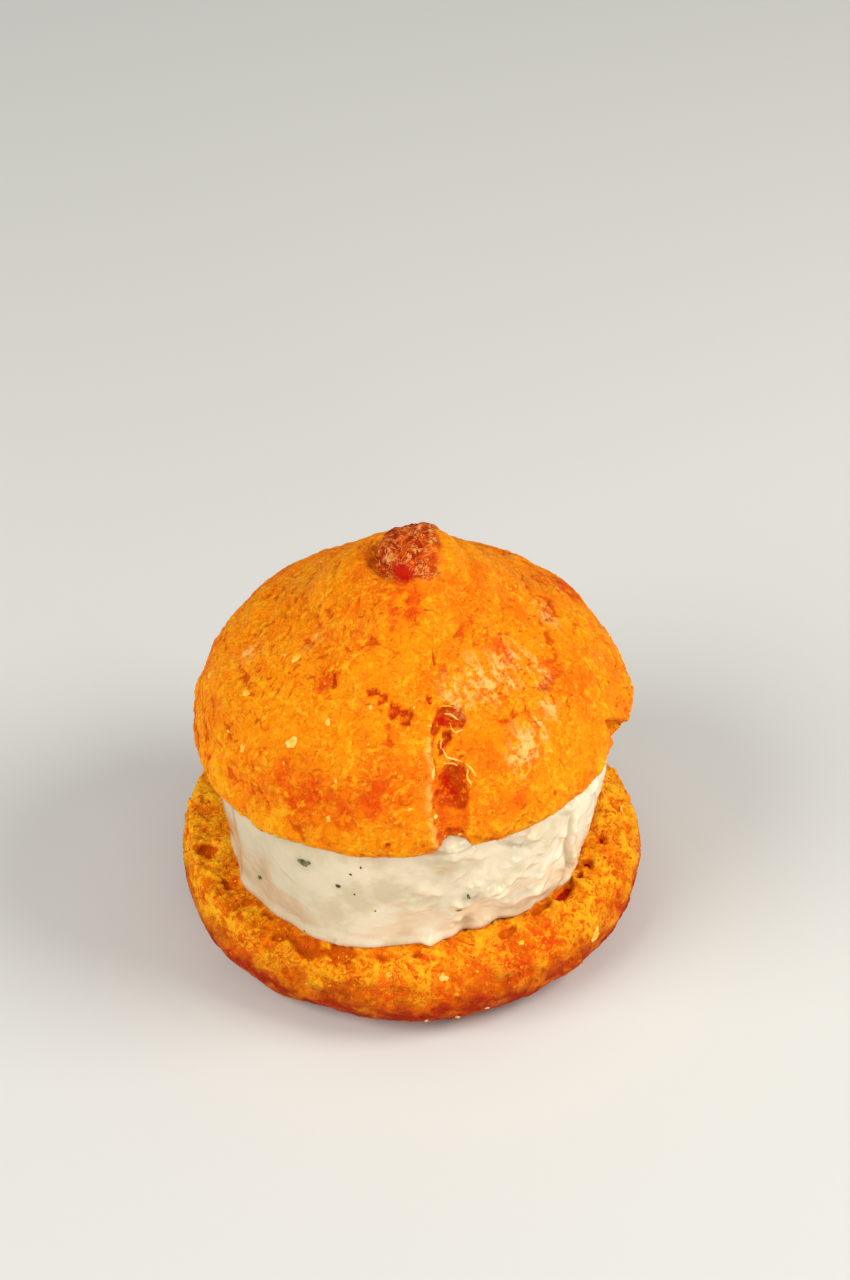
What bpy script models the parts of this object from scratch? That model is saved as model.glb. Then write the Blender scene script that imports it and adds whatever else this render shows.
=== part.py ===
"""A filled cream puff: a choux bun cut level, its base and its pointed lid with cream between them.

Lengths are in metres. +Z is up, the front of the puff faces -Y, and the origin is the middle of the
underside of the whole puff's box. Angles round the puff are in degrees, 0 at +X and -90 at the front.
"""

import math

import bmesh
import bpy
from mathutils import Vector, noise

# Driving dimensions of the base: its crust, its cut face, and the hollow that holds the cream
FOOT_RADIUS = 0.0196
BASE_RADIUS = 0.0248
BASE_WIDEST_HEIGHT = 0.0048
CUT_EDGE_RADIUS = 0.0239
CUT_EDGE_HEIGHT = 0.0087
CUT_EDGE_SLOPE = 60
LIP_RADIUS = 0.0208
LIP_HEIGHT = 0.0097
HOLLOW_FLOOR_RADIUS = 0.0130
HOLLOW_FLOOR_HEIGHT = 0.0060

# Driving dimensions of the lid, with heights above its own cut face
LID_LIFT = 0.0246
LID_SLANT = math.tan(math.radians(4.7))
LID_NOD = math.tan(math.radians(1.0))
LID_LEFT_FULLNESS = 0.0010
RIM_RADIUS = 0.0226
RIM_BREAK_HEIGHT = 0.0050
LID_RADIUS = 0.0233
LID_WIDEST_HEIGHT = 0.0019
FLANK_RADIUS = 0.0211
FLANK_HEIGHT = 0.0066
SHOULDER_RADIUS = 0.0182
SHOULDER_HEIGHT = 0.0106
SLOPE_RADIUS = 0.0107
SLOPE_HEIGHT = 0.0162
COLLAR_RADIUS = 0.0054
COLLAR_HEIGHT = 0.0197
NIB_RADIUS = 0.0036
NIB_FOOT_HEIGHT = 0.0215
NIB_TOP_RADIUS = 0.0029
NIB_SHOULDER_HEIGHT = 0.0245
NIB_HEIGHT = 0.0255
NIB_SHIFT = 0.0004

# Driving dimensions of the cream
CREAM_FOOT_RADIUS = 0.0203
CREAM_TOP_RADIUS = 0.0213
CREAM_BELLY = 0.0005
REST_GAP = 0.0003

# The lumps of each surface, as layers of (height, size)
CRUST_LUMPS = (0.00034, 0.0085), (0.00014, 0.0034)
CRUMB_LUMPS = (0.00030, 0.0030), (0.00016, 0.0015)
NIB_LUMPS = (0.00050, 0.0019), (0.00020, 0.0010)
CREAM_LUMPS = (0.00032, 0.0060), (0.00022, 0.0029)

# The lid's crust: the ridges left by the piping, and the crack that runs from under the nib to the rim
SWIRL_RIDGE = 0.00020
SWIRL_PITCH = 0.0034
CRACK_TOP_RADIUS = 0.0050
CRACK_TOP_X = 0.0021
CRACK_FOOT_X = 0.0041
CRACK_HALF_WIDTH = 0.0010
CRACK_DEPTH = 0.0006

# Torn hollows of the lid (angle, height, half width, half height, depth)
LID_HOLLOWS = [
    (-77.5, 0.0072, 0.0021, 0.0026, 0.0012),
    (-74.5, 0.0123, 0.0015, 0.0010, 0.0010),
    (-91.0, 0.0136, 0.0018, 0.0008, 0.0004),
]

# Pores of the base's cut face (angle, radius, half width, half length, depth)
CUT_HOLLOWS = [
    (-166.5, 0.0229, 0.0014, 0.0009, 0.0009),
    (-153.0, 0.0222, 0.0010, 0.0008, 0.0006),
    (-143.0, 0.0226, 0.0009, 0.0008, 0.0005),
    (-119.0, 0.0226, 0.0024, 0.0010, 0.0010),
    (-108.0, 0.0222, 0.0019, 0.0008, 0.0008),
    (-64.0, 0.0216, 0.0016, 0.0008, 0.0005),
    (-34.0, 0.0209, 0.0018, 0.0008, 0.0009),
    (-20.0, 0.0211, 0.0010, 0.0009, 0.0008),
    (14.0, 0.0222, 0.0014, 0.0010, 0.0006),
    (52.0, 0.0226, 0.0020, 0.0009, 0.0007),
    (97.0, 0.0222, 0.0015, 0.0010, 0.0006),
    (141.0, 0.0227, 0.0021, 0.0009, 0.0007),
]

# A turned solid has three zones, and its segments lie closer together at the front
UNDERSIDE, SIDE, TOP = 0, 1, 2
SEGMENTS = 90
FULL_TURN = 2 * math.pi
FRONT = math.radians(-80)
FRONT_CROWDING = 0.4


def share(value, start, end):
    """How far value is from start to end, from 0 to 1, easing in and out."""
    t = min(1, max(0, (value - start) / (end - start)))
    return t * t * (3 - 2 * t)


def between(start, end, t):
    return start + (end - start) * t


def turn_from(angle, degrees):
    """The turn in degrees from a place given in degrees to an angle in radians, between -180 and 180."""
    return (math.degrees(angle) - degrees + 180) % 360 - 180


def swells(angle, *parts):
    """A sum of (size, peak, width) swells round the puff, with each peak and width in degrees."""
    return sum(size * math.exp(-((turn_from(angle, peak) / width) ** 2)) for size, peak, width in parts)


def hollows(places, radius, angle, level):
    """How deep the oval hollows (angle, level, half width, half length, depth) go here."""
    depth = 0
    for middle, middle_level, half_width, half_length, deepest in places:
        across = radius * math.radians(turn_from(angle, middle)) / half_width
        along = (level - middle_level) / half_length
        depth += deepest * (1 - share(math.hypot(across, along), 0.4, 1.3))
    return depth


def lumps(radius, angle, height, layers):
    point = polar(radius, angle, height)
    return sum(size * noise.noise(point / scale) for size, scale in layers)


def polar(radius, angle, height):
    return Vector((radius * math.cos(angle), radius * math.sin(angle), height))


def curve_through(points, t):
    """The point at t, from 0 to 1, on a Catmull-Rom curve through points that are evenly spaced in t."""
    ends = [points[0], *points, points[-1]]
    place = min(t, 0.999999) * (len(points) - 1)
    index = int(place)
    a, b, c, d = (Vector(point) for point in ends[index : index + 4])
    t = place - index
    bend = (c - a) * t + (2 * a - 5 * b + 4 * c - d) * t * t + (3 * b - a - 3 * c + d) * t**3
    return b + bend / 2


def turned(name, rings, form, colour, roughness):
    """A solid spun from a drum of rings, each vertex then moved to form(zone, t, angle).

    rings is how many rings the underside, the side and the top have. On the underside t runs from 0 at
    the axis to 1 at the edge, on the side from 0 at its foot to 1, and on the top from 1 to 0 at the axis.
    """
    shape = bmesh.new()
    station = shape.verts.layers.float.new("station")
    stations = [zone + step / count for zone, count in enumerate(rings) for step in range(count)]
    verts = []
    for value in [*stations, 3]:
        vert = shape.verts.new((min(value, 1, 3 - value), 0, min(1, max(0, value - 1))))
        vert[station] = value
        verts.append(vert)
    edges = [shape.edges.new(pair) for pair in zip(verts, verts[1:])]
    bmesh.ops.spin(
        shape,
        geom=verts + edges,
        cent=(0, 0, 0),
        axis=(0, 0, 1),
        angle=FULL_TURN,
        steps=SEGMENTS,
        use_merge=True,
    )
    bmesh.ops.remove_doubles(shape, verts=shape.verts, dist=1e-6)
    bmesh.ops.recalc_face_normals(shape, faces=shape.faces)
    for vert in shape.verts:
        value = vert[station]
        angle = math.atan2(vert.co.y, vert.co.x)
        angle -= FRONT_CROWDING * math.sin(angle - FRONT)
        zone = min(int(value + 1e-6), TOP)
        t = value - zone if zone != TOP else 3 - value
        vert.co = form(zone, t, angle)
    mesh = bpy.data.meshes.new(name)
    shape.to_mesh(mesh)
    shape.free()
    mesh.shade_smooth()
    mesh.materials.append(baked(name, colour, roughness))
    solid = bpy.data.objects.new(name, mesh)
    bpy.context.scene.collection.objects.link(solid)
    return solid


def baked(name, colour, roughness):
    material = bpy.data.materials.new(name)
    material.use_nodes = True
    surface = material.node_tree.nodes["Principled BSDF"]
    surface.inputs["Base Color"].default_value = (*colour, 1)
    surface.inputs["Roughness"].default_value = roughness
    surface.inputs["Metallic"].default_value = 0
    return material


def base_reach(angle):
    """The base's outline against a circle: fuller at the back and the left, flatter beside the front."""
    fuller = swells(angle, (0.045, 25, 35), (0.035, 160, 35), (0.02, -150, 25))
    flatter = swells(angle, (0.026, -60, 20), (0.006, -85, 20), (0.016, -113, 15))
    return 1 + fuller - flatter


def cut_height(radius, angle):
    """The height of the base's cut face: its outer edge, its lip and the hollow under the cream."""
    reach = base_reach(angle)
    lip_radius = LIP_RADIUS * reach
    edge = CUT_EDGE_HEIGHT + swells(angle, (0.0012, 180, 60), (-0.0009, 0, 60), (-0.0006, -90, 40))
    lip = LIP_HEIGHT + swells(angle, (-0.0004, -150, 40), (0.0008, -60, 40), (0.0004, 0, 40))
    if radius < lip_radius:
        return between(HOLLOW_FLOOR_HEIGHT, lip, share(radius, HOLLOW_FLOOR_RADIUS, lip_radius))
    return between(lip, edge, share(radius, lip_radius, CUT_EDGE_RADIUS * reach))


def crumb_height(radius, angle):
    """The cut face with its torn crumb, which lies round the cream."""
    bare = share(radius, CREAM_FOOT_RADIUS - REST_GAP, LIP_RADIUS)
    crumb = lumps(radius, angle, 0, CRUMB_LUMPS) - hollows(CUT_HOLLOWS, radius, angle, radius)
    return cut_height(radius, angle) + bare * crumb


def base_form(zone, t, angle):
    reach = base_reach(angle)
    if zone == UNDERSIDE:
        return polar(FOOT_RADIUS * reach * t, angle, 0)
    edge_radius = CUT_EDGE_RADIUS * reach
    if zone == TOP:
        radius = edge_radius * math.sqrt(t)
        return polar(radius, angle, crumb_height(radius, angle))
    widest_radius = BASE_RADIUS * reach
    turn = between(-90, CUT_EDGE_SLOPE, t)
    if turn < 0:
        sweep = math.radians(turn)
        radius = between(FOOT_RADIUS * reach, widest_radius, math.cos(sweep))
        height = BASE_WIDEST_HEIGHT * (1 + math.sin(sweep))
    else:
        rise = turn / CUT_EDGE_SLOPE
        radius = between(widest_radius, edge_radius, rise * rise)
        height = between(BASE_WIDEST_HEIGHT, crumb_height(edge_radius, angle), rise)
    crust = share(height, 0, BASE_WIDEST_HEIGHT) * (1 - share(t, 0.8, 1))
    return polar(radius + crust * lumps(radius, angle, height, CRUST_LUMPS), angle, height)


def rim_reach(angle):
    """The lid's rim against a circle: notched where the crack ends, and broken away on the right."""
    fuller = swells(angle, (0.012, 175, 40), (0.024, 0, 9), (0.008, 60, 30))
    broken = swells(angle, (0.045, -78.5, 4.5), (0.056, -18, 8), (0.015, -85, 40))
    return 1 + fuller - broken


def lid_relief(radius, angle, height):
    """How far the lid's crust stands out from its smooth form."""
    if height > NIB_FOOT_HEIGHT:
        return lumps(radius, angle, height, NIB_LUMPS)
    crack_x = between(CRACK_TOP_X, CRACK_FOOT_X, share(radius, SLOPE_RADIUS, SHOULDER_RADIUS))
    off_crack = abs(radius * math.cos(angle) - crack_x) if math.sin(angle) < 0 else RIM_RADIUS
    crack = 1 - share(off_crack, 0, CRACK_HALF_WIDTH)
    crack *= CRACK_DEPTH * share(radius, CRACK_TOP_RADIUS, SLOPE_RADIUS)
    swirl = SWIRL_RIDGE * math.sin(FULL_TURN * radius / SWIRL_PITCH + angle)
    swirl *= share(height, FLANK_HEIGHT, SLOPE_HEIGHT) * (1 - share(height, SLOPE_HEIGHT, NIB_FOOT_HEIGHT))
    rough = lumps(radius, angle, height, CRUST_LUMPS)
    return rough + swirl - crack - hollows(LID_HOLLOWS, radius, angle, height)


LID_OUTLINE = [
    (RIM_RADIUS, 0),
    (LID_RADIUS, LID_WIDEST_HEIGHT),
    (FLANK_RADIUS, FLANK_HEIGHT),
    (SHOULDER_RADIUS, SHOULDER_HEIGHT),
    (SLOPE_RADIUS, SLOPE_HEIGHT),
]
PEAK_OUTLINE = [
    (SLOPE_RADIUS, SLOPE_HEIGHT),
    (COLLAR_RADIUS, COLLAR_HEIGHT),
    (NIB_RADIUS, NIB_FOOT_HEIGHT),
    (NIB_TOP_RADIUS, NIB_SHOULDER_HEIGHT),
    (0, NIB_HEIGHT),
]


def cut_face(radius, angle):
    """The height of the lid's cut face, which slants up to the right and a little to the front."""
    return radius * (LID_SLANT * math.cos(angle) - LID_NOD * math.sin(angle))


def lid_form(zone, t, angle):
    if zone == UNDERSIDE:
        radius = RIM_RADIUS * rim_reach(angle) * t
        return polar(radius, angle, cut_face(radius, angle))
    radius, height = curve_through(LID_OUTLINE, t) if zone == SIDE else curve_through(PEAK_OUTLINE, 1 - t)
    climb = share(height, 0, SLOPE_HEIGHT)
    radius *= between(rim_reach(angle), 1, share(height, 0, RIM_BREAK_HEIGHT))
    radius += 4 * climb * (1 - climb) * swells(angle, (LID_LEFT_FULLNESS, 180, 60))
    relief = lid_relief(radius, angle, height)
    lean = math.radians(60) * climb
    away = relief * math.cos(lean) * share(radius, 0, NIB_TOP_RADIUS)
    raised = relief * math.sin(lean) + cut_face(radius, angle) * (1 - climb)
    point = polar(radius + away, angle, height + raised)
    point.x += NIB_SHIFT * share(height, COLLAR_HEIGHT, NIB_FOOT_HEIGHT)
    return point


def cream_edge(radius, angle, rise):
    """The cream's outline at a rise from 0 at the base to 1 at the lid, with its folds and lumps."""
    belly = CREAM_BELLY * math.sin(math.pi * rise)
    fold = swells(angle, (-0.0008, -17, 4), (0.0002, -9, 5), (0.0005, -27, 5))
    fold += swells(angle, (-0.0004, -158, 4), (0.0004, -150, 5), (-0.0003, -141, 4))
    squeezed = rise**4 * swells(angle, (0.0009, -78, 6))
    nick = (1 - rise) ** 3 * swells(angle, (0.0012, -73, 3.5), (0.0004, -128, 4), (0.0003, -97, 5))
    height = between(LIP_HEIGHT, LID_LIFT, rise)
    return radius + belly + fold + squeezed - nick + lumps(radius, angle, height, CREAM_LUMPS)


def cream_form(zone, t, angle):
    foot_radius = CREAM_FOOT_RADIUS + swells(angle, (0.0008, -122, 26), (-0.0005, -162, 22))
    foot_radius -= swells(angle, (0.0011, -66, 26), (0.0015, -8, 32), (0.0003, -92, 14))
    top_radius = CREAM_TOP_RADIUS + swells(angle, (0.0006, 10, 40))
    foot = cream_edge(foot_radius, angle, 0)
    top = cream_edge(top_radius, angle, 1)
    if zone == UNDERSIDE:
        radius = foot * math.sqrt(t)
        return polar(radius, angle, cut_height(radius, angle) + REST_GAP)
    if zone == TOP:
        radius = top * t
        return polar(radius, angle, LID_LIFT + cut_face(radius, angle) - REST_GAP)
    low = cut_height(foot, angle) + REST_GAP
    high = LID_LIFT + cut_face(top, angle) - REST_GAP
    radius = cream_edge(between(foot_radius, top_radius, t), angle, t)
    return polar(radius, angle, between(low, high, t))


def main():
    for old in list(bpy.data.objects):
        bpy.data.objects.remove(old)
    puff = bpy.data.objects.new("puff", None)
    bpy.context.scene.collection.objects.link(puff)
    base = turned("base", (1, 9, 15), base_form, (0.78, 0.26, 0.015), 0.6)
    cream = turned("cream", (8, 8, 2), cream_form, (0.80, 0.70, 0.50), 0.4)
    lid = turned("lid", (3, 16, 15), lid_form, (0.83, 0.28, 0.012), 0.5)
    lid.location.z = LID_LIFT
    for piece in (base, cream, lid):
        piece.parent = puff
    bpy.context.view_layer.update()
    points = [piece.matrix_world @ vert.co for piece in (base, cream, lid) for vert in piece.data.vertices]
    for axis in (0, 1):
        along = [point[axis] for point in points]
        puff.location[axis] = -(min(along) + max(along)) / 2


main()
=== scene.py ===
"""The looks of a savoury cream puff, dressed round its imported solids.

Lengths are in metres. The puff stands on z = 0 and its front faces -Y. Angles round it are in degrees,
0 at +X and -90 at the front, and a place on a piece is given by its angle and its height.
"""
import math
import random

import bmesh
import bpy
from mathutils import Matrix, Vector, noise


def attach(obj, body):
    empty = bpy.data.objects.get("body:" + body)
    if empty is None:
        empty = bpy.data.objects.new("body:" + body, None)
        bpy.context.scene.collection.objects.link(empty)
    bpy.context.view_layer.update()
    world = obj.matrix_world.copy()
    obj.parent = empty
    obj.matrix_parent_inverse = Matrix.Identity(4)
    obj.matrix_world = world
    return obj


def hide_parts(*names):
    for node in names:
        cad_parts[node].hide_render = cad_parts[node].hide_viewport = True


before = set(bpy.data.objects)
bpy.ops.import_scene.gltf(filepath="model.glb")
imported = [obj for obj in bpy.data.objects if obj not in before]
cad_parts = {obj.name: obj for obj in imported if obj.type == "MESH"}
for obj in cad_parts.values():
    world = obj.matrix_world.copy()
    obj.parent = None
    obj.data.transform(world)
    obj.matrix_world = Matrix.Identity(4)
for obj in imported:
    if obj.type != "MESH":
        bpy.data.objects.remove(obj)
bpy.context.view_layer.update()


# The base
# The lower half of a baked choux bun, sawn level. Outside it is a thin egg-washed crust. The cut shows
# torn crumb round the cream, granular and golden, with pockets where bubbles stood open.

BASE_FACE_SIZE = 0.00026
CREASE_ANGLE = math.radians(50)
CUT_LEVEL = 0.0062
CRUST_LUMPS = (0.00022, 0.0064), (0.00012, 0.0031)
CRUST_GRAIN = (0.00006, 0.0013), (0.00005, 0.0006), (0.00002, 0.0003)
CRUST_PLATES = (0.0030, 0.00010), (0.0015, 0.00007)
CRACK_DEPTH = 0.00010
BEAD_HEIGHT = 0.00004
CRUST_SWING = 0.00018
CRUMB_TEARS = (0.00026, 0.0023), (0.00026, 0.0011), (0.00020, 0.0006)
CRUMB_EDGE = 0.00018
CRUMB_BUBBLE = 0.00025
CRUMB_SWING = 0.00042
CUT_INNER_EDGE = 0.0150, 0.0170
FOOT_FADE = 0.0002, 0.0016
BAKED_AND_SHADED_FADE = 0.0042, 0.0086
# Where the painted light on the base's left and right sides starts and where it is full
PAINTED_LIGHT_SIDES = 0.014, 0.022
DEEPEST_POCKET = 0.0009

# Noise vectors start from the clock unless they are given a seed
noise.seed_set(5)

# The pockets in the cut face: (angle, distance from the axis, half width, half length, depth)
POCKETS = [
    (-168.0, 0.0230, 0.0010, 0.0009, 0.0006),
    (-154.0, 0.0223, 0.0010, 0.0006, 0.0005),
    (-144.0, 0.0222, 0.0006, 0.0010, 0.0005),
    (-136.0, 0.0212, 0.0007, 0.0004, 0.0005),
    (-128.0, 0.0228, 0.0008, 0.0006, 0.0005),
    (-121.0, 0.0220, 0.0022, 0.0009, 0.0006),
    (-110.5, 0.0216, 0.0019, 0.0008, 0.0005),
    (-98.0, 0.0217, 0.0007, 0.0003, 0.0005),
    (-88.0, 0.0214, 0.0007, 0.0003, 0.0005),
    (-73.0, 0.0236, 0.0028, 0.0011, 0.0002),
    (-60.0, 0.0210, 0.0010, 0.0004, 0.0006),
    (-47.0, 0.0203, 0.0016, 0.0005, 0.0007),
    (-36.0, 0.0203, 0.0018, 0.0008, 0.0009),
    (-28.0, 0.0206, 0.0006, 0.0005, 0.0009),
    (-21.0, 0.0206, 0.0008, 0.0006, 0.0009),
    (-9.0, 0.0214, 0.0009, 0.0006, 0.0009),
    (22.0, 0.0224, 0.0012, 0.0007, 0.0007),
    (63.0, 0.0228, 0.0009, 0.0006, 0.0006),
    (104.0, 0.0221, 0.0013, 0.0008, 0.0007),
    (143.0, 0.0228, 0.0010, 0.0006, 0.0006),
]

# Redder patches of the base, each (angle, height, size)
BASE_RUST = [
    (-88, 0.0035, 0.0036),
    (-72, 0.0068, 0.0034),
    (-62, 0.0074, 0.0036),
    (-50, 0.0085, 0.0034),
    (-96, 0.0062, 0.0034),
    (-82, 0.0058, 0.0036),
    (-112, 0.0025, 0.0034),
    (-140, 0.0040, 0.0040),
    (-24, 0.0060, 0.0016),
    (60, 0.0050, 0.0045),
    (150, 0.0060, 0.0040),
]


def share(value, start, end):
    """How far value is from start to end, from 0 to 1, easing in and out."""
    t = min(1, max(0, (value - start) / (end - start)))
    return t * t * (3 - 2 * t)


def between(start, end, t):
    """The value a share t of the way from start to end."""
    return start + (end - start) * t


def turned_place(point):
    """A point's angle round the puff in degrees, and its distance from the axis."""
    return math.degrees(math.atan2(point.y, point.x)), math.hypot(point.x, point.y)


def arc(radius, angle, middle):
    """The way along a circle from a middle angle to an angle, both in degrees."""
    return radius * math.radians((angle - middle + 180) % 360 - 180)


def layered(point, *layers):
    """Rounded noise at a point, as a sum of (height, size) layers."""
    return sum(height * noise.noise(point / size) for height, size in layers)


def bent(point, height, size):
    """A point pushed about by noise, which frays whatever is drawn there."""
    return point + height * noise.noise_vector(point / size)


def winding(point, size, width):
    """1 on thin winding lines, the level lines of a noise field, and 0 off them."""
    return 1 - share(abs(noise.noise(point / size)), 0, width)


def cells(point, size):
    """How far a point is from the nearest of scattered centres, and from the wall to the next cell."""
    nearest, second = noise.voronoi(point / size)[0][:2]
    return nearest * size, (second - nearest) * size


def spot(point, angle, radius, places):
    """How much a point lies in soft round places (angle, height, size), from 0 to 1."""
    found = 0
    for middle, height, size in places:
        away = math.hypot(arc(radius, angle, middle), point.z - height)
        found = max(found, 1 - share(away, 0.2 * size, size))
    return found


def fine_copy(node, name, face_size):
    """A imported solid's form as a fine even mesh, its loose triangles merged and rounded first."""
    shape = bmesh.new()
    shape.from_mesh(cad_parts[node].data)
    bmesh.ops.remove_doubles(shape, verts=shape.verts, dist=1e-6)
    bmesh.ops.join_triangles(
        shape,
        faces=shape.faces,
        angle_face_threshold=math.radians(40),
        angle_shape_threshold=math.radians(50),
    )
    crease = shape.edges.layers.float.new("crease_edge")
    for edge in shape.edges:
        if len(edge.link_faces) == 2 and edge.calc_face_angle() > CREASE_ANGLE:
            edge[crease] = 0.7
    mesh = bpy.data.meshes.new(name)
    shape.to_mesh(mesh)
    shape.free()
    piece = bpy.data.objects.new(name, mesh)
    bpy.context.scene.collection.objects.link(piece)
    rounded = piece.modifiers.new("rounded", "SUBSURF")
    rounded.levels = 2
    rounded.render_levels = 2
    even = piece.modifiers.new("even faces", "REMESH")
    even.mode = "VOXEL"
    even.voxel_size = face_size
    eased = piece.modifiers.new("eased", "SMOOTH")
    eased.factor = 0.5
    eased.iterations = 3
    bpy.context.view_layer.update()
    evaluated = piece.evaluated_get(bpy.context.evaluated_depsgraph_get())
    piece.data = bpy.data.meshes.new_from_object(evaluated)
    piece.modifiers.clear()
    bpy.data.meshes.remove(mesh)
    return piece


def carve(piece, relief, marks):
    """Moves each point out along its normal by the first value of relief(point, normal), and keeps the
    other values as the marks that the finish reads."""
    mesh = piece.data
    found = [relief(vert.co.copy(), vert.normal.copy()) for vert in mesh.vertices]
    moved = [vert.co + vert.normal * values[0] for vert, values in zip(mesh.vertices, found)]
    mesh.vertices.foreach_set("co", [number for point in moved for number in point])
    for index, name in enumerate(marks, start=1):
        attribute = mesh.attributes.new(name, "FLOAT", "POINT")
        attribute.data.foreach_set("value", [values[index] for values in found])
    mesh.shade_smooth()
    mesh.update()


def plates(point):
    """Thin layers of crust lying over each other: their height, and 1 on a lifted edge, -1 at its foot."""
    height = edge = 0
    for size, step in CRUST_PLATES:
        level = noise.noise(point / size)
        height += step * share(level, 0, 0.08)
        edge += math.exp(-(((level - 0.11) / 0.04) ** 2)) - math.exp(-(((level + 0.02) / 0.04) ** 2))
    return height, edge


def crust_relief(point):
    """The baked crust's height and how much it is a ridge: lumps, grain, plates and drying cracks."""
    frayed = bent(point, 0.00035, 0.0012)
    dried = share(noise.noise(point / 0.0052), -0.1, 0.3)
    flaky = between(0.25, 1, share(noise.noise(point / 0.0045 + Vector((3, 0, 0))), -0.25, 0.25))
    cracks = dried * winding(frayed, 0.0015, 0.12)
    beads = (1 - dried) * winding(frayed, 0.0010, 0.2)
    lifted, edge = plates(frayed)
    fine = layered(frayed, *CRUST_GRAIN) - CRACK_DEPTH * cracks + BEAD_HEIGHT * beads
    return layered(point, *CRUST_LUMPS) + fine + flaky * lifted, fine / CRUST_SWING + 0.6 * flaky * edge


def crumb_relief(point):
    """The torn crumb: ragged lumps and curled edges, with small bubbles in places."""
    frayed = bent(point, 0.0006, 0.0014)
    centre = cells(frayed, 0.0017)[0]
    bubbly = share(noise.noise(point / 0.0043), 0.1, 0.5)
    bubble = bubbly * (1 - share(centre, 0.00025, 0.0007))
    shaggy = share(noise.noise(point / 0.0026), -0.3, 0.3)
    edges = shaggy * winding(frayed, 0.0011, 0.16) + 0.7 * winding(frayed.zxy, 0.0021, 0.1)
    return layered(frayed, *CRUMB_TEARS) + CRUMB_EDGE * edges - CRUMB_BUBBLE * bubble


def base_relief(point, normal):
    """The base's height here, and its marks: ridge, pocket, rust, cut and baked, the foot's darker red that
    is partly deeper bake and partly painted shade.
    """
    angle, radius = turned_place(point)
    frayed = layered(point, (0.0016, 0.0031))
    cut = share(point.z + frayed, CUT_LEVEL - 0.0020, CUT_LEVEL + 0.0004) * share(normal.z, -0.3, 0.1)
    cut *= share(radius, *CUT_INNER_EDGE)
    crust, crust_ridge = crust_relief(point)
    crumb = crumb_relief(point)
    height = between(crust, crumb, cut)
    pocket = 0
    for middle, from_axis, half_width, half_length, depth in POCKETS:
        across = arc(radius, angle, middle) / half_width
        along = (radius - from_axis) / half_length
        away = math.hypot(across, along) + layered(point, (0.5, 0.0012), (0.4, 0.0006))
        found = cut * (1 - share(away, 0.7, 1.1))
        height = between(height, 0.2 * height - depth, found)
        pocket = max(pocket, found * depth / DEEPEST_POCKET)
    grounded = share(point.z, *FOOT_FADE)
    # The foot darker and redder towards the table, partly its deeper bake and partly painted shade
    baked = (1 - share(point.z + frayed, *BAKED_AND_SHADED_FADE)) * between(1, 0.8, cut)
    rust = spot(point, angle, radius, BASE_RUST)
    # Painted light: towards the left and right the ridge mark is raised, so the crumb and crust there are
    # painted paler, as if lit under the lid's overhang
    painted_light_sides = share(abs(point.x), *PAINTED_LIGHT_SIDES)
    ridge = between(crust_ridge, crumb / CRUMB_SWING, cut) + 0.3 * painted_light_sides
    return height * grounded, max(-1, min(1, ridge)), pocket, rust, cut, baked


def srgb(red, green, blue):
    """A screen colour, 0 to 255 each, as the linear colour that a shader takes."""
    return *(((value / 255 + 0.055) / 1.055) ** 2.4 for value in (red, green, blue)), 1


def add_node(tree, kind, sockets, **settings):
    """A shader node whose sockets take numbers, colours or other nodes' outputs."""
    made = tree.nodes.new(kind)
    for name, value in settings.items():
        setattr(made, name, value)
    for name, value in sockets.items():
        if isinstance(value, bpy.types.NodeSocket):
            tree.links.new(value, made.inputs[name])
        else:
            made.inputs[name].default_value = value
    return made


def mottle(tree, size, detail=3, bend=0):
    """Cloudy noise with lumps of a size in metres, over the piece's own coordinates."""
    place = add_node(tree, "ShaderNodeTexCoord", {}).outputs["Object"]
    sockets = {"Vector": place, "Scale": 1 / size, "Detail": detail, "Roughness": 0.6, "Distortion": bend}
    return add_node(tree, "ShaderNodeTexNoise", sockets).outputs["Fac"]


def ease(tree, value, start, end, low=0, high=1):
    """A value's way from start to end as an eased share, between low and high."""
    sockets = {"Value": value, "From Min": start, "From Max": end, "To Min": low, "To Max": high}
    return add_node(tree, "ShaderNodeMapRange", sockets, interpolation_type="SMOOTHSTEP").outputs["Result"]


def maths(tree, operation, first, second):
    return add_node(tree, "ShaderNodeMath", {0: first, 1: second}, operation=operation).outputs[0]


def times(tree, first, second):
    return maths(tree, "MULTIPLY", first, second)


def lines(tree, size, width, bend=0.6):
    """1 on thin winding lines, the level lines of cloudy noise, and 0 off them."""
    away = maths(tree, "ABSOLUTE", maths(tree, "SUBTRACT", mottle(tree, size, 4, bend), 0.5), 0)
    return ease(tree, away, 0, width, 1, 0)


def tinted(tree, under, over, amount):
    """A colour laid over another by an amount from 0 to 1."""
    made = add_node(tree, "ShaderNodeMix", {0: amount, 6: under, 7: over}, data_type="RGBA")
    return made.outputs[2]


def mark(tree, name):
    """One of the marks that carve left on the piece."""
    return add_node(tree, "ShaderNodeAttribute", {}, attribute_name=name).outputs["Fac"]


def bumped(tree, height, distance, strength=1, under=None):
    """A normal bent by a height from 0 to 1 that stands for a distance in metres."""
    sockets = {"Height": height, "Distance": distance, "Strength": strength}
    if under:
        sockets["Normal"] = under
    return add_node(tree, "ShaderNodeBump", sockets).outputs["Normal"]


def new_finish(name):
    """A material with only its Principled surface, as (material, tree, surface)."""
    material = bpy.data.materials.new(name)
    material.use_nodes = True
    tree = material.node_tree
    return material, tree, tree.nodes["Principled BSDF"]


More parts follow.
